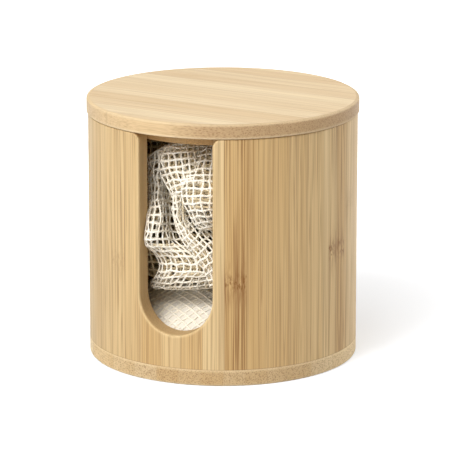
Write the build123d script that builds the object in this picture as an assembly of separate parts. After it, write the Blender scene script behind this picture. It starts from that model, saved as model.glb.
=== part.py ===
"""Round bamboo dispenser for washable cotton wipes, with a lift-off lid and an open front slot.

Frame: millimetres, +Z up, origin at the centre of the underside. The slot faces -Y.
"""

from build123d import *
import math
import os

# Washable wipes, puffed in the middle and pressed thin at the sewn rim
WIPE_COUNT = 7
WIPE_DIAMETER = 80.0
WIPE_CROWN = 3.1
WIPE_RIM = 1.4
WIPE_GAP = 0.2

# Bamboo box, bored to take the wipes with a little room round them
BORE_CLEARANCE = 1.5
WALL_THICKNESS = 8.0
WALL_HEIGHT = 85.0
BASE_THICKNESS = 6.0
LID_OVERHANG = 0.5
LID_THICKNESS = 5.4

# Plug glued under the lid, which drops into the bore of the wall
PLUG_DEPTH = 4.2
PLUG_CLEARANCE = 0.4
PLUG_CHAMFER = 0.5

# Front slot: parallel sides, a full-round bottom and shoulders that open out at the rim
SLOT_WIDTH = 28.0
SLOT_SILL = 12.0
SLOT_SHOULDER_RADIUS = 3.5
SLOT_EDGE_ROUND = 0.6
# How far off a wall face an edge may lie and still count as on it, as a share of the radius
ON_FACE_SHARE = 0.001

# Sanded outer edges: a full round on the lid's top and the base's foot, a slight one under the lid
RIM_ROUND = 0.8
LID_UNDER_ROUND = 0.3

# Net laundry bag: one ply spread over the top wipe, the rest heaped on it in folds
NET_PLY = 1.0
BAG_SIDE_GAP = 3.2
BAG_HEAD_GAP = 4.4
BAG_FOLD_COUNT = 9
BAG_FOLD_DEPTH = 3.0
BAG_FOLD_LEAN = 14.0
BAG_TOP_TILT = 6.0

# Sections of the heap, from the bottom up: share of its height, share of its radius
BAG_SECTION_SHARES = [
    (0.00, 0.72),
    (0.08, 0.93),
    (0.30, 1.00),
    (0.55, 0.96),
    (0.82, 0.98),
    (1.00, 0.80),
]
# How deep the heap's foot sinks into the spread ply, as a share of the ply
BAG_FOOT_SHARE = 0.8

# Length by which a cutting body runs past what it cuts
CUT_OVERRUN = 5.0

# Sizes worked out from those above
WIPE_RADIUS = WIPE_DIAMETER / 2
BORE_RADIUS = WIPE_RADIUS + BORE_CLEARANCE
WALL_RADIUS = BORE_RADIUS + WALL_THICKNESS
LID_RADIUS = WALL_RADIUS + LID_OVERHANG
WALL_TOP = BASE_THICKNESS + WALL_HEIGHT
PLUG_BOTTOM = WALL_TOP - PLUG_DEPTH
STACK_CROWN_TOP = BASE_THICKNESS + WIPE_COUNT * (WIPE_CROWN + WIPE_GAP) - WIPE_GAP
STACK_RIM_TOP = BASE_THICKNESS + WIPE_COUNT * (WIPE_RIM + WIPE_GAP) - WIPE_GAP


def disc(radius, bottom, thickness):
    """A plain upright disc standing on the height bottom."""
    return Pos(0, 0, bottom) * Cylinder(radius, thickness, align=(Align.CENTER, Align.CENTER, Align.MIN))


def edges_at(shape, height):
    """The edges of a shape that lie flat at one height."""
    return shape.edges().filter_by_position(Axis.Z, height, height)


def base_disc():
    """Bottom disc, glued under the wall, with its lower rim sanded round."""
    plain = disc(WALL_RADIUS, 0, BASE_THICKNESS)
    return fillet(edges_at(plain, 0), RIM_ROUND)


def slot_outline():
    """Face of the slot seen from the front, in the XZ plane."""
    half = SLOT_WIDTH / 2
    sill = BASE_THICKNESS + SLOT_SILL
    round_centre = sill + half
    shoulder = WALL_TOP - SLOT_SHOULDER_RADIUS
    flared = half + SLOT_SHOULDER_RADIUS
    inset = SLOT_SHOULDER_RADIUS * (1 - math.sqrt(0.5))
    above = WALL_TOP + CUT_OVERRUN
    edges = [
        ThreePointArc((-half, round_centre), (0, sill), (half, round_centre)),
        Line((half, round_centre), (half, shoulder)),
        ThreePointArc((half, shoulder), (half + inset, WALL_TOP - inset), (flared, WALL_TOP)),
        Line((flared, WALL_TOP), (flared, above)),
        Line((flared, above), (-flared, above)),
        Line((-flared, above), (-flared, WALL_TOP)),
        ThreePointArc((-flared, WALL_TOP), (-half - inset, WALL_TOP - inset), (-half, shoulder)),
        Line((-half, shoulder), (-half, round_centre)),
    ]
    return Plane.XZ * make_face(edges)


def body_wall():
    """Bamboo tube with the slot milled through its front, sharp edges eased."""
    tube = disc(WALL_RADIUS, BASE_THICKNESS, WALL_HEIGHT)
    tube -= disc(BORE_RADIUS, BASE_THICKNESS, WALL_HEIGHT)
    tube -= extrude(slot_outline(), WALL_RADIUS + CUT_OVERRUN)
    return fillet(slot_rims(tube), SLOT_EDGE_ROUND)


def slot_rims(tube):
    """The slot's edges on the outer and the inner face of the wall."""
    flared = SLOT_WIDTH / 2 + SLOT_SHOULDER_RADIUS
    rims = []
    for edge in tube.edges():
        middle = edge.position_at(0.5)
        reach = math.hypot(middle.X, middle.Y)
        in_slot = middle.Y < 0 and abs(middle.X) < flared and middle.Z > BASE_THICKNESS
        on_face = any(
            math.isclose(reach, face, rel_tol=ON_FACE_SHARE) for face in (WALL_RADIUS, BORE_RADIUS)
        )
        if in_slot and on_face:
            rims.append(edge)
    return rims


def lid_disc():
    """Flat lid that rests on the wall's rim and stands a little proud of it."""
    plain = disc(LID_RADIUS, WALL_TOP, LID_THICKNESS)
    eased = fillet(edges_at(plain, WALL_TOP + LID_THICKNESS), RIM_ROUND)
    return fillet(edges_at(eased, WALL_TOP), LID_UNDER_ROUND)


def lid_plug():
    """Smaller disc glued under the lid, which centres it in the bore."""
    plain = disc(BORE_RADIUS - PLUG_CLEARANCE, PLUG_BOTTOM, PLUG_DEPTH)
    return chamfer(edges_at(plain, PLUG_BOTTOM), PLUG_CHAMFER)


def dome_line(radius, rim_height, crown_height):
    """Half profile of a shallow dome, from its crown on the axis to its rim."""
    rise = crown_height - rim_height
    if rise <= 0:
        return Line((0, crown_height), (radius, rim_height))
    sphere = (radius**2 + rise**2) / (2 * rise)
    half_way = radius / 2
    drop = sphere - math.sqrt(sphere**2 - half_way**2)
    return ThreePointArc((0, crown_height), (half_way, crown_height - drop), (radius, rim_height))


def domed_layer(radius, low_rim, low_crown, high_rim, high_crown):
    """Solid between two domes on the Z axis, with a half-round rim."""
    bulge = (high_rim - low_rim) / 2
    inner = radius - bulge
    lower = dome_line(inner, low_rim, low_crown)
    rim = ThreePointArc((inner, low_rim), (radius, low_rim + bulge), (inner, high_rim))
    upper = dome_line(inner, high_rim, high_crown)
    axis = Line((0, low_crown), (0, high_crown))
    return revolve(Plane.XZ * make_face([lower, rim, upper, axis]), Axis.Z)


def wipe(number):
    """One washable wipe of the stack, counted from 0 at the bottom."""
    rim = BASE_THICKNESS + number * (WIPE_RIM + WIPE_GAP)
    crown = BASE_THICKNESS + number * (WIPE_CROWN + WIPE_GAP)
    return domed_layer(WIPE_RADIUS, rim, crown, rim + WIPE_RIM, crown + WIPE_CROWN)


def fold_section(height, radius, turn, tilt):
    """Closed outline of the heaped bag at one height: one arc for each fold."""
    valley = radius - BAG_FOLD_DEPTH
    step = 360 / BAG_FOLD_COUNT
    frame = Plane((0, 0, height), z_dir=Vector(0, 0, 1).rotate(Axis.X, -tilt))

    def place(reach, angle):
        bearing = math.radians(angle)
        return (reach * math.cos(bearing), reach * math.sin(bearing))

    arcs = []
    for fold in range(BAG_FOLD_COUNT):
        start = turn + fold * step
        arcs.append(
            ThreePointArc(place(valley, start), place(radius, start + step / 2), place(valley, start + step))
        )
    return frame * make_face(arcs)


def net_bag():
    """Net bag: a spread ply on the top wipe, and the folded heap that rests on it."""
    ply_crown = STACK_CROWN_TOP + WIPE_GAP
    ply_rim = STACK_RIM_TOP + WIPE_GAP
    spread = domed_layer(WIPE_RADIUS, ply_rim, ply_crown, ply_rim + NET_PLY, ply_crown + NET_PLY)
    heap_radius = BORE_RADIUS - BAG_SIDE_GAP
    heap_foot = ply_crown + NET_PLY - BAG_FOOT_SHARE * NET_PLY
    heap_height = PLUG_BOTTOM - BAG_HEAD_GAP - heap_foot
    sections = []
    for height_share, radius_share in BAG_SECTION_SHARES:
        sections.append(
            fold_section(
                heap_foot + height_share * heap_height,
                radius_share * heap_radius,
                BAG_FOLD_LEAN * height_share,
                BAG_TOP_TILT * height_share,
            )
        )
    return spread + loft(sections)


def main():
    os.makedirs("parts", exist_ok=True)
    nodes = {
        "base_disc": base_disc(),
        "body_wall": body_wall(),
        "lid_disc": lid_disc(),
        "lid_plug": lid_plug(),
        "net_bag": net_bag(),
    }
    for number in range(WIPE_COUNT):
        nodes[f"wipe_{number + 1}"] = wipe(number)
    for name, shape in nodes.items():
        export_step(shape, f"parts/{name}.step")
        print(name, round(shape.volume), "mm3")


main()
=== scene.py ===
# %% [markdown]
# A round bamboo dispenser for washable cotton wipes. The solid frame of the object comes ready made, so
# this lesson is about its looks: bamboo on the box and the lid, a stack of white wipes, and a cotton net
# bag heaped on the stack. Everything is in one frame, with +Z up and the open slot facing -Y.

# %% Load the frame
import math

import bpy
import numpy as np
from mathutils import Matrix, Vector


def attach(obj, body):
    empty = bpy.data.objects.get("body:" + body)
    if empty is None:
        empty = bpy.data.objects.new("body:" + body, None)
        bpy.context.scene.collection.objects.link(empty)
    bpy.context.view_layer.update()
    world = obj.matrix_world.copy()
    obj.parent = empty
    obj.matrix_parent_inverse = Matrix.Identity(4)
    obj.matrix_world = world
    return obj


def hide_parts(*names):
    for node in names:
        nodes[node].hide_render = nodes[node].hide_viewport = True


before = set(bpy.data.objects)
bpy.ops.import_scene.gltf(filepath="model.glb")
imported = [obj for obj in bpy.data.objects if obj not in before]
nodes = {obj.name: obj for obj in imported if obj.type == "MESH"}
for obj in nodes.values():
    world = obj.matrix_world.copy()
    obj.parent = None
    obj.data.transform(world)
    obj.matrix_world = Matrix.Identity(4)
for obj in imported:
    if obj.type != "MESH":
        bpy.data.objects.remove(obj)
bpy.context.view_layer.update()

MM = 0.001
print("frame nodes:", sorted(nodes))

# %% [markdown]
# The picture was taken from a little above and to the right of the slot, with a long lens, so upright edges
# stay parallel. A camera could be dragged into place by eye. Here it is worked out from a distance, a
# height angle and a bearing, and the point it looks at is moved a little to set the box in its place.

# %% Camera
CAMERA_DISTANCE = 1233.8
CAMERA_HEIGHT_ANGLE = 14.459
CAMERA_BEARING = 21.0
CAMERA_LENS = 265.7
CAMERA_FARTHEST = 20.0
BOX_MIDDLE = np.array([0.0, 0.0, 48.0])
AIM_RIGHT = 1.12
AIM_DOWN = 1.23


def polar(bearing, reach, height):
    """Points from bearing in degrees (0 at the slot, growing towards +X), reach and height."""
    turn = np.radians(bearing)
    return np.stack(np.broadcast_arrays(reach * np.sin(turn), -reach * np.cos(turn), height), axis=-1)


def towards(bearing, height_angle):
    """The direction of length one to a bearing and a height angle, both in degrees."""
    rise = math.radians(height_angle)
    return polar(bearing, math.cos(rise), math.sin(rise))


def look_from(name, data, place, aim):
    """A new object with its -Z axis turned from place towards aim, both in millimetres."""
    aimed = bpy.data.objects.new(name, data)
    bpy.context.scene.collection.objects.link(aimed)
    aimed.location = Vector(place) * MM
    aimed.rotation_euler = Vector(aim - place).to_track_quat("-Z", "Y").to_euler()
    return aimed


view_back = towards(CAMERA_BEARING, CAMERA_HEIGHT_ANGLE)
view_right = towards(CAMERA_BEARING + 90, 0.0)
view_up = np.cross(view_back, view_right)
eye = BOX_MIDDLE + CAMERA_DISTANCE * view_back
lens = bpy.data.cameras.new("camera")
lens.lens = CAMERA_LENS
lens.sensor_fit = "HORIZONTAL"
lens.clip_end = CAMERA_FARTHEST
aim = BOX_MIDDLE + AIM_RIGHT * view_right - AIM_DOWN * view_up
bpy.context.scene.camera = look_from("camera", lens, eye, aim)
print("camera at", np.round(eye), "mm")

# %% [markdown]
# A shader is a small program drawn as boxes and wires. Wiring hundreds of boxes by hand is slow to read, so
# short helpers add a box and fill its inputs, do a sum, let a value rise or fall, and mix colours.

# %% Node helpers


def fill(tree, made, inputs):
    """Gives each input of a node a value or the output of another node."""
    for place, value in dict(inputs).items():
        if isinstance(value, bpy.types.NodeSocket):
            tree.links.new(value, made.inputs[place])
        else:
            made.inputs[place].default_value = value
    return made


def put(tree, kind, inputs=(), **options):
    """Adds a node, sets its options and fills its inputs."""
    made = tree.nodes.new("ShaderNode" + kind)
    for option, value in options.items():
        setattr(made, option, value)
    return fill(tree, made, inputs)


def calc(tree, operation, *values):
    """One step of arithmetic on numbers or outputs."""
    return put(tree, "Math", enumerate(values), operation=operation).outputs[0]


def product(tree, first, second):
    """Two values multiplied."""
    return calc(tree, "MULTIPLY", first, second)


def apart(tree, first, second):
    """How far apart two values are."""
    return calc(tree, "ABSOLUTE", calc(tree, "SUBTRACT", first, second))


def ease(tree, value, low, high):
    """Rises smoothly from 0 where value is low to 1 where it is high."""
    ranged = {"Value": value, "From Min": low, "From Max": high}
    return put(tree, "MapRange", ranged, interpolation_type="SMOOTHSTEP").outputs[0]


def fade(tree, value, low, high):
    """Falls smoothly from 1 where value is low to 0 where it is high."""
    return calc(tree, "SUBTRACT", 1.0, ease(tree, value, low, high))


def mixed(tree, share, first, second):
    """The first colour with a share of the second laid over it."""
    return put(tree, "Mix", {0: share, 6: first, 7: second}, data_type="RGBA").outputs[2]


# %% [markdown]
# Boxes that belong together are packed into a group, with named inputs and outputs. A group is wired once
# and can be used wherever its effect is wanted, each time with other values. Copies of the boxes in every
# material would look the same, but a change would have to be made in each of them.

# %% Group helpers


def new_group(name, inputs):
    """A node group and its inputs, which are names with starting values."""
    group = bpy.data.node_groups.new(name, "ShaderNodeTree")
    for label, value in inputs.items():
        kind = {1: "Float", 3: "Vector", 4: "Color"}[np.size(value)]
        socket = group.interface.new_socket(label, in_out="INPUT", socket_type="NodeSocket" + kind)
        socket.default_value = value
    print("group", name)
    return group, group.nodes.new("NodeGroupInput").outputs


def hand_out(tree, values):
    """Gives a group an output of the right kind for each value, by name."""
    for label, value in values.items():
        kind = {"VALUE": "Float", "VECTOR": "Vector", "RGBA": "Color"}[value.type]
        tree.interface.new_socket(label, in_out="OUTPUT", socket_type="NodeSocket" + kind)
    fill(tree, tree.nodes.new("NodeGroupOutput"), values)


def use(tree, group, inputs):
    """Places a node group in a tree with its own values."""
    return put(tree, "Group", inputs, node_tree=group).outputs


# %% [markdown]
# Bamboo board is glued up from strips split out of the stalk. Each strip has its own tone, and its fibres
# run along it as fine brown streaks that turn into dots where the end of a strip is cut across. A flat
# picture wrapped round the box would smear on the cut faces, so the bamboo is a solid pattern, worked out
# from three lengths: across the strips, into the board and along the fibres.

# %% Bamboo strips
STRIP_JUMPS = (431.0, 157.0, 733.0)
SEAM_REACH = (0.04, 0.26)


def bamboo_strips():
    """Strip number = whole part of across / width. It gives a tone and a piece of the pattern."""
    tree, given = new_group(
        "bamboo strips",
        {"Across": 0.0, "Depth": 0.0, "Along": 0.0, "Strip Width": 8.0, "Strips": 1000.0, "Seed": 0.0},
    )
    width = given["Strip Width"]
    place = calc(tree, "DIVIDE", given["Across"], width)
    number = calc(tree, "FLOOR", place)
    inside = calc(tree, "SUBTRACT", place, number)
    wrapped = calc(tree, "FLOORED_MODULO", number, given["Strips"])
    seed = calc(tree, "ADD", wrapped, given["Seed"])
    draw = put(tree, "TexWhiteNoise", {"W": seed}, noise_dimensions="1D").outputs["Color"]
    parts = put(tree, "SeparateColor", {0: draw}).outputs[:3]
    lengths = (product(tree, inside, width), given["Depth"], given["Along"])
    grain = [calc(tree, "MULTIPLY_ADD", *step) for step in zip(parts, STRIP_JUMPS, lengths)]
    to_edge = product(tree, calc(tree, "MINIMUM", inside, calc(tree, "SUBTRACT", 1.0, inside)), width)
    hand_out(tree, {
        "Grain": put(tree, "CombineXYZ", enumerate(grain)).outputs[0], "Tone": parts[0],
        "Seam": fade(tree, to_edge, *SEAM_REACH),
    })
    return tree


STRIPS = bamboo_strips()

# %% [markdown]
# The fibres come from noise that is drawn out along the strip. Each kind has a width, a length and a
# detail. A range says from which value of the noise a fibre starts to show, and where it is full.

# %% Bamboo fibres
FINE_STREAK = (0.44, 70.0, 2.0)
COARSE_STREAK = (1.5, 140.0, 1.0)
SLOW_DRIFT = (4.5, 80.0, 2.0)
NOISE_ROUGHNESS = 0.6
FINE_RANGE = (0.45, 0.75)
LINE_RANGE = (0.004, 0.036)
LINE_SHARE = 0.7
BUNDLE_CELLS = (1.8, 1.8, 0.014)
BUNDLE_RANGE = (0.16, 0.5)


def stretched_noise(tree, vector, across, along, detail):
    """Noise whose grains are across millimetres wide and along millimetres long."""
    scale = (1 / across, 1 / across, 1 / along)
    place = put(tree, "VectorMath", {0: vector, 1: scale}, operation="MULTIPLY").outputs[0]
    noise = {"Vector": place, "Scale": 1.0, "Detail": detail, "Roughness": NOISE_ROUGHNESS}
    return put(tree, "TexNoise", noise).outputs[0]


def bamboo_fibres():
    """Streaks and bundles are noise and cells drawn out along the fibres, with thin lines where a coarse
    noise passes through its middle value. Drift is a slow change of tone. The relief is 1 less half of the
    streaks and bundles."""
    tree, given = new_group("bamboo fibres", {"Grain": (0.0, 0.0, 0.0)})
    grain = given["Grain"]
    fine = ease(tree, stretched_noise(tree, grain, *FINE_STREAK), *FINE_RANGE)
    lines = fade(tree, apart(tree, stretched_noise(tree, grain, *COARSE_STREAK), 0.5), *LINE_RANGE)
    streaks = calc(tree, "MAXIMUM", product(tree, lines, LINE_SHARE), fine)
    cells = put(tree, "VectorMath", {0: grain, 1: BUNDLE_CELLS}, operation="MULTIPLY").outputs[0]
    to_cell = put(tree, "TexVoronoi", {"Vector": cells, "Scale": 1.0, "Randomness": 1.0}).outputs["Distance"]
    bundles = fade(tree, to_cell, *BUNDLE_RANGE)
    worn_off = calc(tree, "MULTIPLY_ADD", streaks, 0.5, product(tree, bundles, 0.5))
    hand_out(tree, {
        "Streaks": streaks, "Bundles": bundles, "Drift": stretched_noise(tree, grain, *SLOW_DRIFT),
        "Height": calc(tree, "SUBTRACT", 1.0, worn_off),
    })
    return tree


FIBRES = bamboo_fibres()

# %% [markdown]
# A bamboo stalk has joints, and where a strip was split through one, the board shows a brown mark: a short
# row of specks across the strip, with darker streaks running up and down from it. Each mark is placed with
# one small group, so that the largest ones sit where they do on the real box.

# %% Bamboo joint marks
SPECKLE = (0.7, 2.1, 3.0)
SPECKLE_RANGE = (0.42, 0.68)
SPECK_SHARE = 0.9
SPECK_ROW = (1.0, 5.0)
RUN = (0.7, 9.0, 2.0)
RUN_RANGE = (0.44, 0.70)
RUN_SHARE = 0.65
RUN_HALO = (0.5, 12.0)
JOINT_EDGE = (0.05, 0.28)


def bamboo_joint():
    """Fading out from the mark along the fibres, and cut off at the edges of its strip, noise gives specks
    and runs. Their strip is tinted, and its two edges show as seams."""
    tree, given = new_group(
        "bamboo joint",
        {"Across": 0.0, "Along": 0.0, "Grain": (0.0, 0.0, 0.0), "Mark Across": 0.0, "Mark Along": 0.0,
         "Half Width": 4.0, "Strength": 1.0},
    )
    grain, strength = given["Grain"], given["Strength"]
    aside = apart(tree, given["Across"], given["Mark Across"])
    above = apart(tree, given["Along"], given["Mark Along"])
    in_strip = calc(tree, "LESS_THAN", aside, given["Half Width"])
    to_edge = apart(tree, aside, given["Half Width"])
    speckle = ease(tree, stretched_noise(tree, grain, *SPECKLE), *SPECKLE_RANGE)
    specks = product(tree, fade(tree, above, *SPECK_ROW), speckle)
    streak = ease(tree, stretched_noise(tree, grain, *RUN), *RUN_RANGE)
    runs = product(tree, fade(tree, above, *RUN_HALO), streak)
    mark = calc(tree, "MAXIMUM", product(tree, specks, SPECK_SHARE), product(tree, runs, RUN_SHARE))
    hand_out(tree, {
        "Specks": product(tree, product(tree, mark, in_strip), strength),
        "Strip": product(tree, in_strip, strength),
        "Edge": product(tree, fade(tree, to_edge, *JOINT_EDGE), strength),
    })
    return tree


JOINT = bamboo_joint()

# %% [markdown]
# The last bamboo group turns those masks into a colour and a gloss. Pale and warm are the two ends of the
# tone of the strips, and brown is the colour of the fibres. The wall, the lid and the base use the same
# groups with their own values, so they look like one wood from different boards. The plug of the lid uses
# them too, with darker values that are painted shade, as it lies in the shadow of the lid.

# %% Bamboo colour
STRIP_TONE = 0.75
DRIFT_TONE = 0.5
DRIFT_START = -0.12
JOINT_TONE = 0.25
CUT_BROWN = 0.36
JOINT_STREAKS = 0.8
CUT_DOTS = 0.3
CUT_SEAM_LOSS = 0.8
# Pale laid over rubbed edges: wear, and partly a painted highlight.
WEAR_AND_HIGHLIGHT_PALE = 0.4
ROUGHNESS = 0.44
STREAK_ROUGHNESS = 0.12
WORN_ROUGHNESS = 0.15


def colour(red, green, blue):
    """A colour as it looks on screen, 0 to 255, turned into the linear light that shaders work in."""
    share = np.array([red, green, blue]) / 255
    linear = np.where(share <= 0.04045, share / 12.92, ((share + 0.055) / 1.055) ** 2.4)
    return (*linear.tolist(), 1.0)


def bamboo_colour():
    """Mixes pale to warm by strip, then lays streaks, bundles, seams and joint marks over it as brown."""
    tree, given = new_group(
        "bamboo colour",
        {"Pale": colour(228, 202, 154), "Warm": colour(198, 160, 104), "Brown": colour(122, 74, 30),
         "Tone": 0.5, "Drift": 0.5, "Streaks": 0.0, "Bundles": 0.0, "Seam": 0.0, "Joint": 0.0,
         "Joint Strip": 0.0, "End Grain": 0.0, "Wear And Highlight": 0.0,
         "Streak Share": 0.3, "Bundle Share": 0.2, "Seam Share": 0.3},
    )
    brown, cut = given["Brown"], given["End Grain"]
    tone = calc(tree, "MULTIPLY_ADD", given["Drift"], DRIFT_TONE, DRIFT_START)
    tone = calc(tree, "MULTIPLY_ADD", given["Tone"], STRIP_TONE, tone)
    tone = calc(tree, "MULTIPLY_ADD", given["Joint Strip"], JOINT_TONE, tone)
    board = mixed(tree, tone, given["Pale"], given["Warm"])
    ground = mixed(tree, cut, board, mixed(tree, CUT_BROWN, board, brown))
    strong = calc(tree, "MULTIPLY_ADD", given["Joint Strip"], JOINT_STREAKS, 1.0)
    share = product(tree, given["Streaks"], product(tree, given["Streak Share"], strong))
    streaked = mixed(tree, share, ground, brown)
    dots = calc(tree, "MULTIPLY_ADD", cut, CUT_DOTS, given["Bundle Share"])
    dotted = mixed(tree, product(tree, given["Bundles"], dots), streaked, brown)
    uncut = calc(tree, "SUBTRACT", 1.0, product(tree, cut, CUT_SEAM_LOSS))
    seam_share = product(tree, given["Seam Share"], uncut)
    seamed = mixed(tree, product(tree, given["Seam"], seam_share), dotted, brown)
    marked = mixed(tree, given["Joint"], seamed, brown)
    rough = calc(tree, "MULTIPLY_ADD", given["Wear And Highlight"], WORN_ROUGHNESS, ROUGHNESS)
    hand_out(tree, {
        # The pale laid over the edges is rubbed wear and partly a painted highlight.
        "Color": mixed(tree, product(tree, given["Wear And Highlight"], WEAR_AND_HIGHLIGHT_PALE), marked, given["Pale"]),
        "Roughness": calc(tree, "MULTIPLY_ADD", given["Streaks"], STREAK_ROUGHNESS, rough),
    })
    return tree


BAMBOO = bamboo_colour()

# %% [markdown]
# Every bamboo material joins those four groups in the same way, and adds two thin dark lines round the
# outside: a glue line where the wall is glued to the base, and a line of painted shade where the lid lies
# on the wall.

# %% Bamboo finish
WALL_RADIUS = 49.5
BORE_RADIUS = 41.5
BASE_TOP = 6.0
PLUG_BOTTOM = 86.8
WALL_TOP = 91.0
LID_TOP = 96.4
GLUE_LINE = ((0.06, 0.28), 1.6)
# Painted shade: a dark line round the outside where the lid lies on the wall.
LID_SHADE_LINE = ((0.08, 0.4), 3.0)
OUTSIDE = (WALL_RADIUS - 0.3, WALL_RADIUS - 0.1)
FIBRE_RELIEF = 0.12
FIBRE_DEPTH = 0.0003
BAMBOO_GLOSS = 0.2


def new_material(name):
    """A material with nodes, its Principled shader and its Object coordinates in millimetres."""
    material = bpy.data.materials.new(name)
    material.use_nodes = True
    tree = material.node_tree
    shader = tree.nodes["Principled BSDF"]
    where = put(tree, "TexCoord").outputs["Object"]
    place = put(tree, "VectorMath", {0: where, "Scale": 1 / MM}, operation="SCALE").outputs[0]
    print("material", name)
    return material, tree, shader, place


def line_at(tree, height, level, line):
    """A line round the box at one level: its strength there, fading out over the reach given with it."""
    reach, strength = line
    return product(tree, fade(tree, apart(tree, height, level), *reach), strength)


def finish_bamboo(tree, shader, lengths, height, reach, strip_values, joints, extra_tone, values):
    """Joins the groups for strips, fibres, joint marks and colour, with a slight relief, a glue line and a
    line of painted shade under the lid.
    """
    across, depth, along = lengths
    at_base = line_at(tree, height, BASE_TOP, GLUE_LINE)
    lid_shade = line_at(tree, height, WALL_TOP, LID_SHADE_LINE)
    # The glue line is a real dark joint; the line under the lid is painted shade. Both go on with the seams.
    lines = product(tree, calc(tree, "MAXIMUM", at_base, lid_shade), ease(tree, reach, *OUTSIDE))
    strips = use(tree, STRIPS, {"Across": across, "Depth": depth, "Along": along, **strip_values})
    fibres = use(tree, FIBRES, {"Grain": strips["Grain"]})
    seams = calc(tree, "MAXIMUM", strips["Seam"], lines)
    specks = strip_mask = 0.0
    for mark in joints:
        mark = dict(zip(("Mark Across", "Mark Along", "Half Width", "Strength"), mark))
        joint = use(tree, JOINT, {"Across": across, "Along": along, "Grain": strips["Grain"], **mark})
        specks = calc(tree, "MAXIMUM", specks, joint["Specks"])
        strip_mask = calc(tree, "MAXIMUM", strip_mask, joint["Strip"])
        seams = calc(tree, "MAXIMUM", seams, joint["Edge"])
    look = use(tree, BAMBOO, {
        "Tone": calc(tree, "ADD", strips["Tone"], extra_tone), "Drift": fibres["Drift"],
        "Streaks": fibres["Streaks"], "Bundles": fibres["Bundles"], "Seam": seams, "Joint": specks,
        "Joint Strip": strip_mask, **values,
    })
    bump = put(tree, "Bump", {"Height": fibres["Height"], "Strength": FIBRE_RELIEF, "Distance": FIBRE_DEPTH})
    fill(tree, shader, {
        "Base Color": look["Color"], "Roughness": look["Roughness"], "Normal": bump.outputs[0],
        "Specular IOR Level": BAMBOO_GLOSS,
    })


# %% [markdown]
# On the wall the strips stand upright like the staves of a barrel, so across is the bearing times the
# radius, depth is the distance from the axis, and along is the height. The slot was cut through the staves:
# its faces are browner, and its edges are rubbed pale by hands, a paleness that is partly a painted
# highlight on the rounded edges. A joint mark has a place round the wall, a height, a half width and a
# strength.

# %% Bamboo of the wall
SLOT_HALF_WIDTH = 14.0
SLOT_ROUND_HEIGHT = 32.0
SLOT_WEAR_AND_HIGHLIGHT = (0.25, 1.3)
SAWN_OUTER = (WALL_RADIUS - 2.0, WALL_RADIUS - 0.4)
SAWN_INNER = (BORE_RADIUS, BORE_RADIUS + 0.6)
SAWN_TONE = 0.75
TOP_FACE = (WALL_TOP - 0.25, WALL_TOP - 0.05)
TOP_CUT = 0.5
STAVES = 39
STAVE_WIDTH = 2 * math.pi * WALL_RADIUS / STAVES
STAVE_SHIFT = 5.2
STAVE_SEED = 89.0
WALL_JOINTS = [
    (22.7, 38.0, 4.1, 1.0), (67.0, 45.2, 5.3, 0.9), (-25.2, 42.0, 4.0, 0.35), (77.5, 61.0, 4.2, 0.22),
    (118.5, 61.0, 4.0, 0.8), (-97.0, 30.0, 4.0, 0.9),
]


def from_axis(tree, x, y):
    """Distance from the axis: the length of x and y taken together."""
    flat = put(tree, "CombineXYZ", {0: x, 1: y}).outputs[0]
    return put(tree, "VectorMath", {0: flat}, operation="LENGTH").outputs["Value"]


def slot_wear_and_highlight(tree, x, y, z):
    """Rubbed edges of the slot, partly a painted highlight: 1 close to its outline, straight sides over a
    half round.
    """
    below = calc(tree, "MINIMUM", calc(tree, "SUBTRACT", z, SLOT_ROUND_HEIGHT), 0.0)
    off = apart(tree, from_axis(tree, x, below), SLOT_HALF_WIDTH)
    return product(tree, fade(tree, off, *SLOT_WEAR_AND_HIGHLIGHT), calc(tree, "LESS_THAN", y, 0.0))


def wall_bamboo():
    """Bamboo in staves: across = bearing x radius, depth = distance from the axis, along = height."""
    material, tree, shader, place = new_material("bamboo_wall")
    x, y, z = put(tree, "SeparateXYZ", {0: place}).outputs[:3]
    bearing = calc(tree, "ARCTAN2", x, product(tree, y, -1.0))
    across = calc(tree, "MULTIPLY_ADD", bearing, WALL_RADIUS, STAVE_SHIFT)
    reach = from_axis(tree, x, y)
    sawn = product(tree, fade(tree, reach, *SAWN_OUTER), ease(tree, reach, *SAWN_INNER))
    sawn = product(tree, sawn, fade(tree, z, *TOP_FACE))
    top = product(tree, ease(tree, z, *TOP_FACE), TOP_CUT)
    finish_bamboo(
        tree, shader, (across, reach, z), z, reach,
        {"Strip Width": STAVE_WIDTH, "Strips": float(STAVES), "Seed": STAVE_SEED},
        [(mark + STAVE_SHIFT, *rest) for mark, *rest in WALL_JOINTS], product(tree, sawn, SAWN_TONE),
        {"Streak Share": 0.50, "Bundle Share": 0.18, "Seam Share": 0.24,
         "Wear And Highlight": slot_wear_and_highlight(tree, x, y, z), "End Grain": calc(tree, "MAXIMUM", top, sawn)},
    )
    return material


# %% [markdown]
# The lid, its plug and the base are flat boards, so a turn about the upright axis brings their strips into
# line. Where the rim of a board cuts across the strips it shows end grain, and its edges are rubbed pale, a
# paleness that is partly a painted highlight.

# %% Bamboo of the flat boards
BOARD_RIM = (WALL_RADIUS - 0.9, WALL_RADIUS - 0.3)
RIM_WEAR_AND_HIGHLIGHT = (WALL_RADIUS - 1.1, WALL_RADIUS - 0.2)
FACE_WEAR_AND_HIGHLIGHT = (0.2, 1.2)


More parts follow.
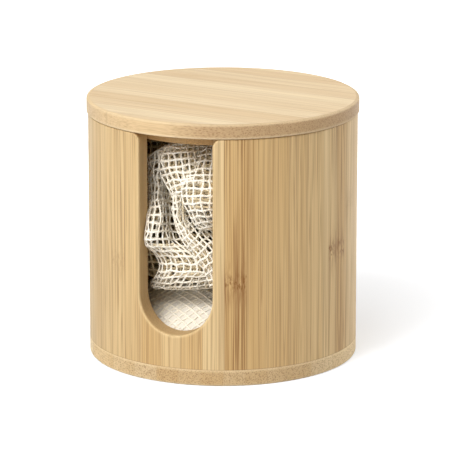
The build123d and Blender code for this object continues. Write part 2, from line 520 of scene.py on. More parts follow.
def board_bamboo(
    name, faces, turn, strip_values, values, cut_range=(0.05, 0.45), cut_share=1.0, rim_tone=0.0,
):
    """Bamboo in a flat board with strips along a line turned from +X. Its depth is the height."""
    material, tree, shader, place = new_material(name)
    turned = put(tree, "Mapping", {"Vector": place, "Rotation": (0.0, 0.0, math.radians(-turn))}).outputs[0]
    along, across, depth = put(tree, "SeparateXYZ", {0: turned}).outputs[:3]
    reach = from_axis(tree, along, across)
    at_rim = ease(tree, reach, *BOARD_RIM)
    facing = ease(tree, calc(tree, "DIVIDE", along, WALL_RADIUS), *cut_range)
    end_grain = product(tree, product(tree, at_rim, facing), cut_share)
    to_face = calc(tree, "MINIMUM", *(apart(tree, depth, face) for face in faces))
    wear_and_highlight = product(tree, fade(tree, to_face, *FACE_WEAR_AND_HIGHLIGHT), ease(tree, reach, *RIM_WEAR_AND_HIGHLIGHT))
    finish_bamboo(
        tree, shader, (across, depth, along), depth, reach, strip_values, [], product(tree, at_rim, rim_tone),
        {"Wear And Highlight": wear_and_highlight, "End Grain": end_grain, **values},
    )
    return material


finishes = {
    "body_wall": wall_bamboo(),
    "lid_disc": board_bamboo(
        "bamboo_lid", (WALL_TOP, LID_TOP), -10.0, {"Strip Width": 9.0, "Seed": 11.0},
        {"Streak Share": 0.24, "Bundle Share": 0.14, "Seam Share": 0.16,
         "Pale": colour(235, 215, 178), "Warm": colour(218, 189, 145)}, rim_tone=1.1,
    ),
    # The plug's darker Pale and Warm are painted shade: it lies in the shadow of the lid.
    "lid_plug": board_bamboo(
        "bamboo_plug_painted_shade", (PLUG_BOTTOM, WALL_TOP), 80.0, {"Strip Width": 9.0, "Seed": 17.0},
        {"Streak Share": 0.30, "Bundle Share": 0.14, "Seam Share": 0.16,
         "Pale": colour(214, 180, 128), "Warm": colour(190, 150, 97)},
    ),
    "base_disc": board_bamboo(
        "bamboo_base", (0.0, BASE_TOP), -69.0, {"Strip Width": 8.0, "Seed": 29.0},
        {"Streak Share": 0.26, "Bundle Share": 0.30, "Seam Share": 0.15,
         "Pale": colour(244, 222, 178), "Warm": colour(223, 191, 138)}, cut_range=(0.3, 0.9), cut_share=0.9,
    ),
}
for name, material in finishes.items():
    nodes[name].data.materials.clear()
    nodes[name].data.materials.append(material)
    print(name, "is", material.name)

# %% [markdown]
# New pieces are meshes made from whole arrays of numbers. One helper puts points and faces into a mesh in
# one go, and keeps a map of the surface where a pattern has to follow a thread. The other numbers the faces
# of a grid of points that closes round an axis.

# %% Mesh helpers


def add_piece(name, points, faces, material, uv=None):
    """A mesh from points in millimetres, and an array of corner numbers for each size of face."""
    mesh = bpy.data.meshes.new(name)
    corners = np.concatenate([part.ravel() for part in faces]).astype(np.int32)
    sizes = np.concatenate([np.full(len(part), part.shape[1]) for part in faces])
    mesh.vertices.add(len(points))
    mesh.vertices.foreach_set("co", (points * MM).astype(np.float32).ravel())
    mesh.loops.add(len(corners))
    mesh.loops.foreach_set("vertex_index", corners)
    mesh.polygons.add(len(sizes))
    mesh.polygons.foreach_set("loop_start", (np.cumsum(sizes) - sizes).astype(np.int32))
    mesh.update(calc_edges=True)
    if uv is not None:
        layer = mesh.uv_layers.new(name="thread")
        layer.data.foreach_set("uv", uv.astype(np.float32).ravel())
    mesh.validate()
    mesh.shade_smooth()
    mesh.materials.append(material)
    piece = bpy.data.objects.new(name, mesh)
    bpy.context.scene.collection.objects.link(piece)
    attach(piece, "box")
    print(name, len(points), "points,", int((sizes - 2).sum()), "triangles")
    return piece


def grid_faces(rows, columns):
    """Corner numbers of the four-sided faces between the rows of a grid whose columns close round."""
    number = np.arange(rows * columns).reshape(rows, columns)
    beside = np.roll(number, -1, axis=1)
    return np.stack([number[:-1], beside[:-1], beside[1:], number[1:]], axis=-1).reshape(-1, 4)


# %% [markdown]
# The wipes are round pads of two layers of cotton. The cloth is white and dull, with fine loops and a
# little fluff, too small and too many to model one by one, so they are a relief in the shader.

# %% Cotton for the wipes
CLOTH_LOOPS = 1.6
CLOTH_FLUFF = (2.6, 3.0)
CLOTH_TONE = (0.12, 2.0)
CLOTH_DULL = colour(236, 229, 215)
CLOTH_BRIGHT = colour(242, 236, 225)


def noise_at(tree, place, scale, detail):
    """Noise with the given number of grains to the millimetre."""
    return put(tree, "TexNoise", {"Vector": place, "Scale": scale, "Detail": detail}).outputs[0]


def cotton_cloth():
    """White cotton: fine loops as relief and a faint change of tone."""
    material, tree, shader, place = new_material("cotton_wipe")
    cells = {"Vector": place, "Scale": CLOTH_LOOPS, "Randomness": 1.0}
    loops = put(tree, "TexVoronoi", cells).outputs["Distance"]
    height = calc(tree, "ADD", loops, noise_at(tree, place, *CLOTH_FLUFF))
    white = mixed(tree, noise_at(tree, place, *CLOTH_TONE), CLOTH_DULL, CLOTH_BRIGHT)
    bump = put(tree, "Bump", {"Height": height, "Strength": 0.3, "Distance": 0.0003})
    fill(tree, shader, {
        "Base Color": white, "Normal": bump.outputs[0],
        "Roughness": 0.95, "Specular IOR Level": 0.1, "Sheen Weight": 0.3,
    })
    return material


COTTON = cotton_cloth()

# %% [markdown]
# Sewn at the rim, the pads are thick in the middle and thin at the edge, and each lies on the crown of the
# one below. A pad is a profile turned about the axis: out along the under side, round the sewn rim and back
# over the top. Small stitches pull the rim in.

# %% Wipes
WIPE_COUNT = 7
WIPE_RADIUS = 40.0
WIPE_CROWN = 3.1
WIPE_RIM = 1.4
WIPE_GAP = 0.2
DOME_RADIUS = WIPE_RADIUS - WIPE_RIM / 2
DOME_RINGS = 30
RIM_RINGS = 7
MIDDLE_SHARE = 0.02
STITCHES = 150
STITCH_DEPTH = 0.16
STITCH_RADIUS = WIPE_RADIUS - 1.0
STITCH_WIDTH = 1.1
STITCH_TURN = 0.4


def bell(value, middle, width, power=2):
    """e to the minus of the distance from the middle, in widths, to a power: 1 at the middle."""
    return np.exp(-(((value - middle) / width) ** power))


def dome(reach, rim, crown):
    """Height of a shallow round cap over its rim: the ball through the crown and the rim."""
    rise = crown - rim
    if rise <= 0:
        return np.full_like(reach, crown)
    ball = (DOME_RADIUS**2 + rise**2) / (2 * rise)
    return crown - ball + np.sqrt(ball**2 - reach**2)


def wipe_points(number):
    """A pad: the lower dome from the middle out, a half-round rim, and the upper dome back in. Near the rim
    a cosine round the axis pulls the points in, once for each stitch."""
    rim = BASE_TOP + number * (WIPE_RIM + WIPE_GAP)
    crown = BASE_TOP + number * (WIPE_CROWN + WIPE_GAP)
    half = WIPE_RIM / 2
    reach = np.linspace(MIDDLE_SHARE, 1, DOME_RINGS) * DOME_RADIUS
    over = np.linspace(-np.pi / 2, np.pi / 2, RIM_RINGS + 2)[1:-1]
    low = np.stack([reach, dome(reach, rim, crown)], axis=1)
    edge = np.stack([DOME_RADIUS + half * np.cos(over), rim + half + half * np.sin(over)], axis=1)
    high = np.stack([reach, dome(reach, rim + WIPE_RIM, crown + WIPE_CROWN)], axis=1)[::-1]
    out, up = np.hsplit(np.concatenate([low, edge, high]), 2)
    turn = np.linspace(0, 360, 2 * STITCHES, endpoint=False)
    stitch = 0.5 + 0.5 * np.cos(np.radians(STITCHES * turn) + STITCH_TURN * number)
    return polar(turn, out - STITCH_DEPTH * bell(out, STITCH_RADIUS, STITCH_WIDTH) * stitch, up)


for number in range(WIPE_COUNT):
    rings = wipe_points(number)
    rows, around = rings.shape[:2]
    points = np.concatenate([rings.reshape(-1, 3), rings[[0, -1]].mean(axis=1)])
    ring = np.arange(around)
    beside = np.roll(ring, -1)
    last = (rows - 1) * around
    foot = np.stack([np.full(around, rows * around), beside, ring], axis=1)
    head = np.stack([np.full(around, rows * around + 1), last + ring, last + beside], axis=1)
    faces = [grid_faces(rows, around), foot, head]
    pad = add_piece(f"cotton_wipe_{number + 1}", points, faces, COTTON)
    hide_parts(f"wipe_{number + 1}")

# %% [markdown]
# The bag is a cotton net: threads just under a millimetre thick that cross in cells of about two by three
# millimetres. A picture of a net on a plain sheet would look flat from the side, so every thread is made.
# First a sheet is laid out as a coarse cage of points. A smooth surface through the cage gives the
# crossings, evenly spaced but a bit loose.

# %% Crossings of the net
CELL_WIDE = 2.3
CELL_TALL = 3.2
CLOSE_TALL = 2.7
CROSSING_LOOSE = 0.22
CAGE_STEPS = 12
chance = np.random.default_rng(7)


def curve_shares(places, count):
    """Share of each of count points in a smooth curve through them, one row for each place. A place takes a
    cubic mix of the two points before it and the two after it."""
    first = np.clip(np.floor(places).astype(int), 0, count - 2)
    t = places - first
    mix = np.stack([
        (-t + 2 * t**2 - t**3) / 2, (2 - 5 * t**2 + 3 * t**3) / 2,
        (t + 4 * t**2 - 3 * t**3) / 2, (t**3 - t**2) / 2,
    ])
    shares = np.zeros((len(places), count))
    for tap in range(4):
        np.add.at(shares, (np.arange(len(places)), np.clip(first + tap - 1, 0, count - 1)), mix[tap])
    return shares


def even_places(lines, pitch, way):
    """Places along one way of a grid of points that are a pitch apart, by the mean length of its lines."""
    steps = np.linalg.norm(np.diff(lines, axis=way), axis=2).mean(axis=1 - way)
    length = np.concatenate([[0.0], np.cumsum(steps)])
    count = round(length[-1] / pitch) + 1
    return np.interp(np.linspace(0, length[-1], count), length, np.arange(len(length)))


def surface(cage, at_rows, at_columns):
    """Points of the smooth surface through a cage, at places along its rows and its columns."""
    rows, columns = cage.shape[:2]
    return np.einsum("ri,ijk,cj->rck", curve_shares(at_rows, rows), cage, curve_shares(at_columns, columns))


def crossings(cage, tall=CELL_TALL):
    """Where threads cross: the smooth surface through the cage, at even places, a bit loose."""
    counts = cage.shape[:2]
    fine = surface(cage, *(np.linspace(0, count - 1, CAGE_STEPS * (count - 1) + 1) for count in counts))
    at_rows = even_places(fine, tall, 0) / CAGE_STEPS
    at_columns = even_places(fine, CELL_WIDE, 1) / CAGE_STEPS
    net = surface(cage, at_rows, at_columns)
    return net + chance.normal(0, CROSSING_LOOSE, net.shape)


# %% [markdown]
# Then the threads run from crossing to crossing, both ways. Each is a thin, slightly flat tube, thicker
# where it crosses another, and all the tubes of a layer become one piece. Blender can round a curve into a
# cord as well, but a tube that is worked out can be flat, swell at the crossings and keep a map for the
# twist of its yarn.

# %% Threads of the net
THREAD_UP = 0.39
THREAD_ACROSS = 0.47
THREAD_FLATNESS = 0.72
CROSSING_SWELL = 0.16
STEPS = 4
SIDES = 6
TINY = 1e-9


def unit(vectors):
    """Vectors of length one in the same directions."""
    return vectors / np.maximum(np.linalg.norm(vectors, axis=-1, keepdims=True), TINY)


def tubes(paths, normals, radius):
    """Tubes round paths: a flattened ring of points about each path point, across the path and along its
    normal. Returns points, four-sided faces, end faces and a map: share of the way round, length along in
    millimetres."""
    count, length = paths.shape[:2]
    ahead = unit(np.gradient(paths, axis=1))
    side = unit(np.cross(ahead, normals))
    out = np.cross(side, ahead)
    turn = np.linspace(0, 2 * np.pi, SIDES, endpoint=False)
    wide = side[:, :, None] * np.cos(turn)[:, None]
    thick = out[:, :, None] * (THREAD_FLATNESS * np.sin(turn))[:, None]
    points = paths[:, :, None] + radius[..., None, None] * (wide + thick)
    number = np.arange(count * length * SIDES).reshape(count, length, SIDES)
    beside = np.roll(number, -1, axis=2)
    quads = np.stack([number[:, :-1], number[:, 1:], beside[:, 1:], beside[:, :-1]], axis=-1)
    ends = np.concatenate([number[:, 0], number[:, -1, ::-1]])
    steps = np.linalg.norm(np.diff(paths, axis=1), axis=2)
    run = np.concatenate([np.zeros((count, 1)), np.cumsum(steps, axis=1)], axis=1)
    share = np.arange(SIDES + 1) / SIDES
    low, high, here, after = np.broadcast_arrays(share[:-1], share[1:], run[:, :-1, None], run[:, 1:, None])
    uv = np.stack([low, here, low, after, high, after, high, here], axis=-1)
    return points.reshape(-1, 3), quads.reshape(-1, 4), ends, uv.reshape(-1, 2)


def net_threads(net):
    """Both sets of threads of a net of crossings, thicker where they cross."""
    normal = unit(np.cross(np.gradient(net, axis=1), np.gradient(net, axis=0)))
    made = []
    upright = (net.swapaxes(0, 1), normal.swapaxes(0, 1), THREAD_UP)
    for lines, facing, half in ((net, normal, THREAD_ACROSS), upright):
        cells = lines.shape[1] - 1
        places = np.linspace(0, cells, STEPS * cells + 1)
        shares = curve_shares(places, cells + 1)
        path = np.einsum("sc,lck->lsk", shares, lines)
        turned = unit(np.einsum("sc,lck->lsk", shares, facing))
        swell = 1 + CROSSING_SWELL * np.cos(2 * np.pi * places)
        radius = np.broadcast_to(half * swell, path.shape[:2])
        made.append(tubes(path, turned, radius))
    return made


def add_net(name, made, material):
    """One piece from several sets of tubes."""
    points, quads, ends, maps = zip(*made)
    starts = np.cumsum([0] + [len(part) for part in points])
    quads = np.concatenate([part + start for part, start in zip(quads, starts)])
    ends = np.concatenate([part + start for part, start in zip(ends, starts)])
    uv = np.concatenate([*maps, np.zeros((ends.size, 2))])
    piece = add_piece(name, np.concatenate(points), [quads, ends], material, uv)
    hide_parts("net_bag")
    return piece


# %% [markdown]
# The yarn is unbleached cotton, cream and twisted. The twist has to follow each thread, so it is drawn on
# the map that the thread carries: the share of the way round and the length along it. Light reaches the
# inner layers of the bag by way of other threads and turns warm; that warm light is painted into a second,
# warmer copy of the yarn for those layers.

# %% Cotton for the net
STRANDS = 2.0
TWISTS_PER_MM = 0.9
STRAND_RELIEF = 0.35
YARN_FLUFF = (3.0, 3.0)
YARN_TONE = (0.25, 2.0)


def cotton_yarn(name, dull, bright):
    """Unbleached cotton: twisted strands as relief along the thread's map, and a faint tone."""
    material, tree, shader, place = new_material(name)
    run = put(tree, "UVMap", uv_map="thread").outputs[0]
    around, along = put(tree, "SeparateXYZ", {0: run}).outputs[:2]
    twist = calc(tree, "ADD", product(tree, around, STRANDS), product(tree, along, TWISTS_PER_MM))
    strands = calc(tree, "SINE", product(tree, twist, 2 * math.pi))
    height = calc(tree, "MULTIPLY_ADD", strands, STRAND_RELIEF, noise_at(tree, place, *YARN_FLUFF))
    cream = mixed(tree, noise_at(tree, place, *YARN_TONE), dull, bright)
    bump = put(tree, "Bump", {"Height": height, "Strength": 0.5, "Distance": 0.0002})
    fill(tree, shader, {
        "Base Color": cream, "Normal": bump.outputs[0],
        "Roughness": 0.9, "Specular IOR Level": 0.15, "Sheen Weight": 0.25,
    })
    return material


YARN = cotton_yarn("cotton_net", colour(254, 243, 221), colour(255, 251, 240))
# A copy of the same yarn with painted warm light, for the inner layers of the bag.
PAINTED_WARM_LIGHT_YARN = cotton_yarn("cotton_net_painted_warm_light", colour(252, 233, 195), colour(255, 242, 212))

# %% [markdown]
# One layer of the bag lies spread over the top wipe, with its threads at a slant to the slot. Threads that
# run straight across a dome are easy to write down: a row of parallel lines, cut off at the round edge,
# with the height of the dome added at each point. Each row has a slant and a lift above the wipe.

# %% Spread layer of the bag
SPREAD_ROWS = ((57.0, 0.16), (-33.0, 0.26))
SPREAD_PITCH = 2.7
SPREAD_THREAD = 0.42
SPREAD_RADIUS = 39.0
SPREAD_POINTS = 121
SPREAD_WAVER = 0.25
WAVER_LENGTH = 6.0
SPREAD_BALL = 60.0
TOP_RIM = BASE_TOP + WIPE_COUNT * (WIPE_RIM + WIPE_GAP) - WIPE_GAP
TOP_CROWN = BASE_TOP + WIPE_COUNT * (WIPE_CROWN + WIPE_GAP) - WIPE_GAP


def spread_threads(slant, lift):
    """Parallel lines at a slant, cut off at the round edge and lifted onto the top wipe's dome."""
    lines = round(2 * SPREAD_RADIUS / SPREAD_PITCH) - 1
    offset = ((np.arange(lines) - (lines - 1) / 2) * SPREAD_PITCH)[:, None]
    along = np.linspace(-1, 1, SPREAD_POINTS) * np.sqrt(SPREAD_RADIUS**2 - offset**2)
    aside = offset + SPREAD_WAVER * np.sin(along / WAVER_LENGTH + offset)
    angle = math.radians(slant)
    x = along * math.cos(angle) - aside * math.sin(angle)
    y = along * math.sin(angle) + aside * math.cos(angle)
    height = dome(np.minimum(np.hypot(x, y), DOME_RADIUS), TOP_RIM, TOP_CROWN) + lift
    path = np.stack([x, y, height], axis=-1)
    upward = unit(np.stack([x, y, np.full_like(x, SPREAD_BALL)], axis=-1))
    return tubes(path, upward, np.full(path.shape[:2], SPREAD_THREAD))


spread = add_net("net_bag_spread", [spread_threads(*row) for row in SPREAD_ROWS], YARN)

# %% [markdown]
# The rest of the bag is stuffed in on top of that layer and fills the box up to the lid. Behind the slot it
# shows as three overlapping folds. Each fold is a cage of points given by bearing, height and reach from
# the axis, read row by row from the top down, so it can be pushed in or pulled out like clay. The free edge
# of a fold rolls back on itself. The front fold hangs at the left, comes forward at half height and ends in
# the lower edge of the heap.

# %% Front fold of the bag
ROLL_TURN = 3.2
ROLL_DEPTH = 1.5


def rolled(cage, turn, depth):
    """Adds two columns before the first one, turned back under the fold, so that its edge is round."""
    back = cage[:, :1] + np.array([turn, 0.0, -depth])
    under = cage[:, :1] + np.array([ROLL_TURN * turn, 0.0, -ROLL_DEPTH * depth])
    return np.concatenate([under, back, cage], axis=1)


def add_fold(name, cages, tall, material):
    """One piece of the bag from the cages of its layers, with cells of the given height."""
    nets = [crossings(polar(cage[..., 0], cage[..., 2], cage[..., 1]), tall) for cage in cages]
    piece = add_net(name, [threads for net in nets for threads in net_threads(net)], material)


front_fold = np.array([
    [(-27, 80, 24), (-23, 82, 25), (-19, 83.3, 25),
     (-15, 84, 25), (-9, 84.5, 25), (-1, 84.5, 24)],
    [(-31.5, 78.3, 33), (-24.5, 80.8, 34), (-20.5, 82, 34),
     (-17, 82.5, 33.5), (-13, 83, 31.5), (-5, 83, 29)],
    [(-31.5, 75.6, 34), (-24.5, 78, 35), (-20.5, 78.6, 35),
     (-18, 79, 34), (-17, 78.5, 31), (-9, 78.5, 28)],
    [(-30.5, 73, 34.5), (-24.5, 73.5, 35.5), (-20, 74, 35.5),
     (-20.5, 73.5, 33), (-22, 72, 29), (-12, 72, 26)],
    [(-31, 67.5, 34), (-24.5, 68.5, 35), (-21, 68.5, 34.5),
     (-22.5, 67.5, 31.5), (-25, 66.5, 27.5), (-14, 66.5, 25)],
    [(-26, 64, 36.5), (-21.5, 64.5, 37), (-18.5, 65, 36.5),
     (-21, 64, 32), (-24, 62.5, 28), (-13, 63, 26)],
    [(-20.5, 61, 40.2), (-16.5, 61.5, 40.8), (-13.5, 62, 39.8),
     (-16, 61, 35), (-19.5, 59.5, 30), (-9, 59.5, 27.5)],
    [(-18, 57.5, 43.4), (-14.5, 58, 44), (-11.5, 57.5, 42.4),
     (-13, 56.5, 37), (-16, 55, 31.5), (-6, 54.5, 28)],
    [(-17, 53, 45.4), (-13.5, 53.5, 46.2), (-10.5, 53.5, 44.6),
     (-9.8, 53, 40.5), (-10.5, 51.5, 34), (-1, 51, 30)],
    [(-17, 50, 45.4), (-14, 50.5, 46), (-11, 50.5, 44.4),
     (-8.4, 50, 41), (-6, 49, 36), (4, 49, 33)],
    [(-17.3, 47.5, 43.6), (-13.8, 47.5, 43.6), (-11, 47.5, 42.4),
     (-7, 47.5, 40), (-1, 47, 37), (9, 47, 35)],
    [(-17.5, 44.5, 39.5), (-13, 45, 40), (-9, 45, 39.8),
     (-4, 45, 39), (3.5, 45.5, 37.5), (15, 45.5, 36)],
    [(-16.5, 41, 38), (-12, 41.5, 38.5), (-8, 42, 38.5),
     (-2.5, 42, 38.3), (6.5, 42.5, 37.5), (18, 43, 37)],
    [(-17, 37.5, 38), (-12, 38, 38.5), (-8, 38.5, 38.8),
     (-2, 39, 38.8), (6.5, 39.5, 38.5), (18, 39.5, 37.5)],
    [(-22.5, 33.6, 36.5), (-17, 34.1, 37.1), (-12, 34.6, 37.5),
     (-5.5, 35.6, 37.6), (3, 36.1, 37.3), (17, 36.6, 36.3)],
    [(-28.5, 30, 34.7), (-22, 30.5, 35.3), (-16.5, 31, 35.7),
     (-9.5, 31.5, 35.6), (0.5, 32.5, 35.2), (15.5, 33.5, 34)],
    [(-29.5, 29, 32.1), (-22.5, 29.4, 32.6), (-17, 29.9, 32.9),
     (-10, 30.4, 32.8), (0, 31.2, 32.2), (15, 32.2, 31)],
    [(-27, 31.7, 31), (-21.5, 32, 31.1), (-16, 32.5, 31.2),
     (-9, 32.9, 31), (0, 33.7, 30.5), (14, 34.7, 29.6)],
])
add_fold("net_bag_front_fold", [rolled(front_fold, 1.0, 2.6)], CELL_TALL, YARN)

# %% [markdown]
# The side fold is a band that runs down from the top to the lower right, where it passes over the front
# fold. It has a cage of its own, because one cage for the whole bag could not lie over itself so freely.
# Its cells are less tall, as the cloth is drawn together there.

# %% Side fold of the bag
side_fold = np.array([
    [(-16, 84, 22), (-7, 85, 23), (2, 85, 24), (8, 84.5, 22), (14, 83.5, 16)],
    [(-23, 82, 31), (-13, 83.7, 33), (-5, 84.5, 33), (2.5, 84.5, 30), (11, 83, 20)],
    [(-18.5, 80, 36), (-10, 81.3, 37.5), (-2, 82, 37.5), (4, 81.5, 33), (12, 80, 20)],
    [(-17.8, 75.6, 36.6), (-8.5, 77.5, 39), (-0.5, 78.5, 39), (6, 78.3, 35), (14, 77.3, 23)],
    [(-13.4, 71, 37.2), (-5.5, 73.5, 39.8), (1.5, 74.5, 40.2), (8, 75, 38), (16, 75, 30)],
    [(-9.2, 68.3, 38), (-3, 70, 40), (3.5, 71.5, 40.2), (9.5, 72.5, 39.5), (17.5, 72.5, 36)],
    [(-7.4, 65.4, 38.3), (-3, 66.2, 40), (-0.5, 66.8, 36.5), (3, 67.2, 31), (12, 67.2, 26)],
    [(-7.2, 62.3, 38.5), (-3.4, 63, 40), (-2.2, 63.4, 35), (0, 63.6, 28), (9, 63.8, 22)],
    [(-6.2, 58.7, 38.9), (-2.8, 60, 40.2), (-1.6, 60.6, 35), (0.6, 60.8, 28), (10, 61, 21)],
    [(-3.8, 55, 39.4), (-0.6, 56.8, 40.6), (0.6, 57.6, 35.5), (3, 58, 28), (12, 58.3, 21)],
    [(-0.7, 51.7, 39.7), (2.6, 54, 41), (4.2, 55.3, 37), (7, 56, 30), (15, 56.3, 23)],
    [(2.3, 48.8, 39.8), (6, 51.4, 41.3), (8, 53, 38.8), (11, 54, 33), (18, 54.4, 27)],
    [(5.3, 46.3, 39.8), (9, 49, 41.3), (12, 50.9, 40), (15.5, 52.1, 36.5), (23, 52.6, 32)],
    [(8.2, 43.3, 39.6), (12, 46, 41), (15.5, 48, 40.6), (19.5, 49.5, 38.5), (27, 50.3, 35)],
    [(10.9, 40.2, 39.2), (15, 42.7, 40.4), (18.5, 44.7, 40.2), (22.5, 46, 38.5), (30, 47, 36)],
    [(13, 36.7, 38.8), (17.5, 39, 39.7), (21.5, 40.7, 39.4), (25.5, 42, 38), (33, 43, 36)],
    [(14.6, 34.3, 37.8), (19.5, 36, 38.4), (23.5, 37.5, 38), (28, 38.7, 37), (35, 39.5, 35)],
])
add_fold("net_bag_side_fold", [rolled(side_fold, 1.5, 2.0)], CLOSE_TALL, YARN)

# %% [markdown]
# The belly fold bulges forward at the upper right, over the side fold. Its last rows turn in again under
# the bulge, which leaves a dark crevice there. A solid lump with a painted net would be quicker, but no
# light could pass it.

# %% Belly fold of the bag
belly_fold = np.array([
    [(-2, 82, 28), (5, 83, 28), (10.5, 83.6, 27.5), (16.5, 83.6, 27), (24, 83, 25)],
    [(-2, 79, 34), (5, 80.2, 34), (10.5, 81, 33.5), (16.5, 81, 32.5), (24, 80.5, 30)],
    [(-1.5, 75.5, 37), (5, 76.5, 38), (10.5, 77, 37.8), (16.5, 77, 36.5), (24, 77, 33)],
    [(-0.5, 72, 40), (5, 73, 42.2), (11, 73.5, 42.8), (17, 73.5, 41.5), (24, 73.5, 37.5)],
    [(0.5, 68.5, 41.5), (5.8, 69.5, 44.4), (11.2, 70, 45.2), (17, 70, 43.4), (24, 69.5, 38.5)],
    [(2.4, 65.2, 42.6), (6.6, 66, 45.2), (11.6, 66.5, 45.8), (17, 66.3, 43.6), (24, 66, 38.5)],
    [(4, 61.8, 42.4), (7.8, 62.8, 44.8), (12.2, 63.4, 45.4), (17.4, 63.1, 43), (24, 62.8, 38)],
    [(6.2, 58.8, 42), (9.6, 59.9, 43.6), (13.6, 60.4, 43.8), (18.2, 60, 41.6), (24, 59.6, 37)],
    [(9, 56.6, 41.2), (12.2, 57.4, 41.8), (15.6, 57.7, 41.6), (19.4, 57.4, 40), (24.8, 57, 36.5)],
    [(12.4, 55.2, 39.4), (15, 55.8, 39.6), (17.8, 55.9, 39.2), (21, 55.8, 38), (25.8, 55.6, 35)],
    [(13.4, 55.8, 36.6), (16, 56.4, 36.8), (18.8, 56.6, 36.5), (22, 56.6, 35.4), (26.5, 56.4, 33)],
])
add_fold("net_bag_belly_fold", [rolled(belly_fold, 1.5, 2.2)], CLOSE_TALL, YARN)

# %% [markdown]
# More of the bag lies behind those folds and fills their holes. A lining is a part of a fold's own cage,
# set back and shifted a little: behind the free edge and the upper rows of the side fold, in two layers
# behind the upper rows of the belly fold, and behind the middle of the front fold.

# %% Linings behind the folds
LINING_SHIFT = np.array([1.6, -1.6, -2.2])
INNER_SHIFT = np.array([0.2, 0.0, -4.4])
EDGE_COLUMNS = slice(0, 2)
UPPER_ROWS = slice(0, 6)
MIDDLE_ROWS = slice(9, 14)
linings = {
    "net_bag_side_lining": [side_fold[:, EDGE_COLUMNS] + LINING_SHIFT, side_fold[UPPER_ROWS] + INNER_SHIFT],
    "net_bag_belly_lining": [belly_fold[UPPER_ROWS] + LINING_SHIFT, belly_fold[UPPER_ROWS] + INNER_SHIFT],
    "net_bag_front_lining": [front_fold[MIDDLE_ROWS] + LINING_SHIFT],
}
for name, layers in linings.items():
    # The linings take the yarn with painted warm light.
    add_fold(name, layers, CLOSE_TALL, PAINTED_WARM_LIGHT_YARN)

# %% [markdown]
# The heap behind the folds shows through their cells, and from above when the lid is off. It is a closed
# tube with nine leaning folds, tucked under at the bottom, rounded at the top and sunk in the middle, where
# the mouth of the bag lies. Behind the slot it is dented, to keep clear of the folds in front.

# %% Heap of the bag
HEAP_FOLDS = 9
HEAP_FOLD_DEPTH = 3.0
HEAP_LEAN = 14.0
HEAP_FOOT = 31.0
HEAP_RISE = 53.0
HEAP_FULL_REACH = 30.0
HEAP_TILT = 2.5
UNEVEN_LEAST = 0.6
UNEVEN_MORE = 0.8
UNEVEN_TURNS = 2.3
CORNER_DROP = 14.0
CORNER_BELL = (-38, 20)
SLOT_DEPTH = 5.5
SLOT_SLOPE = 3.0
SLOT_MIDDLE = 2
SLOT_SPAN = 8
FOOT_TOP = 52
FOOT_FADE = 12
heap_profile = np.array([
    (16, 31.0), (24, 31.0), (31, 31.2), (35.5, 33), (37.5, 39), (37.8, 48), (37.2, 57), (36.5, 66), (37, 75),
    (35.5, 81.5), (30, 84.5), (23, 83.5), (16, 79), (11, 71), (8.5, 63),
])


def heap_cage():
    """Reach and height from the profile, less a fold depth that waves round the axis and leans with the
    height. The top tilts down to the back and drops at a corner left of the slot. Dents lie all behind the
    slot, at the upper right, at the foot and under the belly: a depth, where it is, the reach at which it
    starts, and its length."""
    around = np.linspace(-180, 180, HEAP_FOLDS * 4 + 1)
    out, up = heap_profile[:, :1], heap_profile[:, 1:]
    share = np.clip((up - HEAP_FOOT) / HEAP_RISE, 0, 1)
    wave = 0.5 - 0.5 * np.cos(np.radians(HEAP_FOLDS * (around + HEAP_LEAN * share)))
    depth = HEAP_FOLD_DEPTH * (UNEVEN_LEAST + UNEVEN_MORE * np.sin(np.radians(UNEVEN_TURNS * around)) ** 2)
    reach = out - wave * depth * np.minimum(1, out / HEAP_FULL_REACH)
    deeper_left = SLOT_DEPTH - SLOT_SLOPE * np.tanh((around - SLOT_MIDDLE) / SLOT_SPAN)
    lower_part = np.clip((FOOT_TOP - up) / FOOT_FADE, 0, 1)
    dents = [
        (deeper_left, bell(around, 0, 34, 4), 24, 10),
        (10.0, bell(around, 15, 14) * share**3, 20, 10),
        (7.0, bell(around, 0, 40, 4) * lower_part, 16, 20),
        (12.0, bell(around, 11, 14) * bell(up, 59, 9), 16, 10),
    ]
    for dent, where, start, length in dents:
        reach = reach - dent * where * np.clip((reach - start) / length, 0, 1)
    height = up - HEAP_TILT * share * (0.5 - 0.5 * np.cos(np.radians(around)))
    return polar(around, reach, height - CORNER_DROP * bell(around, *CORNER_BELL) * share**3)


heap_net = crossings(heap_cage())
heap_net[:, -1] = heap_net[:, 0]
half = heap_net.shape[1] // 2
heap_pieces = {"net_bag_left_heap": heap_net[:, :half + 1], "net_bag_right_heap": heap_net[:, half:]}
for name, net in heap_pieces.items():
    # The heap takes the yarn with painted warm light.
    heap = add_net(name, net_threads(net), PAINTED_WARM_LIGHT_YARN)

# %% [markdown]
# The box stands on white paper in white surroundings. The floor looks white and still takes a faint shadow,
# because it adds a little light of its own to what falls on it, and only for rays that the camera follows.
# To the camera the surroundings are plain white too. As light they are weak and a little warm.

# %% Floor and surroundings
WHITE = (1.0, 1.0, 1.0, 1.0)
WARM_FILL = (1.0, 0.93, 0.82, 1.0)
FILL_STRENGTH = 0.25
FLOOR_HALF = 4000.0
FLOOR_GREY = (0.65, 0.675, 0.72, 1.0)
FLOOR_GLOW = {"From Min": 0.06, "From Max": 0.2, "To Min": 0.45, "To Max": 0.8}


def seen_rays(tree):
    """1 for rays that the camera follows, also mirrored or through something clear, else 0."""
    path = put(tree, "LightPath").outputs
    followed = calc(tree, "MAXIMUM", path["Is Glossy Ray"], path["Is Transmission Ray"])
    return calc(tree, "MAXIMUM", path["Is Camera Ray"], followed)


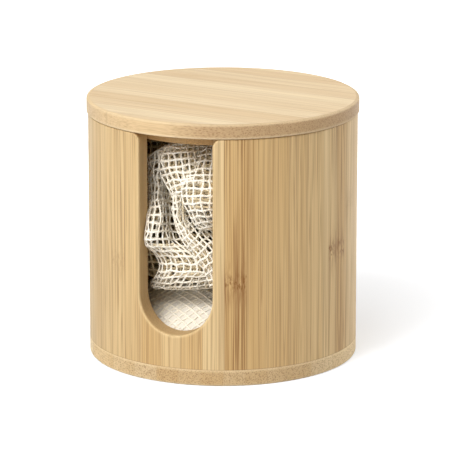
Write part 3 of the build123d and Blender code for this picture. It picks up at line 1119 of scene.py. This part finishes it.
def white_floor():
    """A wide square in plain grey with a glow added, which rises with the distance from the box."""
    half = FLOOR_HALF * MM
    mesh = bpy.data.meshes.new("floor")
    corners = [(-half, -half, 0), (half, -half, 0), (half, half, 0), (-half, half, 0)]
    mesh.from_pydata(corners, [], [(0, 1, 2, 3)])
    material = bpy.data.materials.new("floor_white")
    material.use_nodes = True
    tree = material.node_tree
    tree.nodes.clear()
    where = put(tree, "TexCoord").outputs["Object"]
    away = put(tree, "VectorMath", {0: where}, operation="LENGTH").outputs["Value"]
    level = put(tree, "MapRange", {"Value": away, **FLOOR_GLOW}).outputs[0]
    glow = put(tree, "Emission", {"Color": WHITE, "Strength": product(tree, seen_rays(tree), level)})
    plain = put(tree, "BsdfDiffuse", {"Color": FLOOR_GREY})
    both = put(tree, "AddShader", {0: plain.outputs[0], 1: glow.outputs[0]})
    put(tree, "OutputMaterial", {"Surface": both.outputs[0]})
    mesh.materials.append(material)
    floor = bpy.data.objects.new("floor", mesh)
    bpy.context.scene.collection.objects.link(floor)


def studio_world():
    """White surroundings: plain white where the camera looks, and weaker and warmer as light."""
    world = bpy.data.worlds.new("studio")
    bpy.context.scene.world = world
    world.use_nodes = True
    tree = world.node_tree
    tree.nodes.clear()
    seen = seen_rays(tree)
    level = put(tree, "MapRange", {"Value": seen, "To Min": FILL_STRENGTH, "To Max": 1.0}).outputs[0]
    glow = put(tree, "Background", {"Color": mixed(tree, seen, WARM_FILL, WHITE), "Strength": level})
    put(tree, "OutputWorld", {"Surface": glow.outputs[0]})


white_floor()
studio_world()
print("floor", 2 * FLOOR_HALF, "mm wide")

# %% [markdown]
# The lamps are those of a plain studio: large and soft, in front and at the upper left, one behind on the
# right, one behind, and a weak one overhead. Each has a bearing, a height angle, a size in millimetres and
# a power in watts, and faces the middle of the box.

# %% Lamps
LAMP_DISTANCE = 1700.0
lamps = [
    ("front lamp", -3, 12, 700, 3.0),
    ("left lamp", -20, 40, 700, 8.2),
    ("upper left lamp", -20, 45, 700, 8.2),
    ("upper front lamp", 0, 45, 700, 9.2),
    ("right lamp", 128, 20, 900, 10.4),
    ("back lamp", 170, 25, 900, 5.0),
    ("top lamp", 0, 84, 900, 2.2),
]
for name, bearing, height_angle, size, watts in lamps:
    lamp = bpy.data.lights.new(name, "AREA")
    lamp.size = size * MM
    lamp.energy = watts
    look_from(name, lamp, BOX_MIDDLE + LAMP_DISTANCE * towards(bearing, height_angle), BOX_MIDDLE)
print(len(lamps), "lamps")
bpy.context.scene.view_settings.view_transform = "Standard"
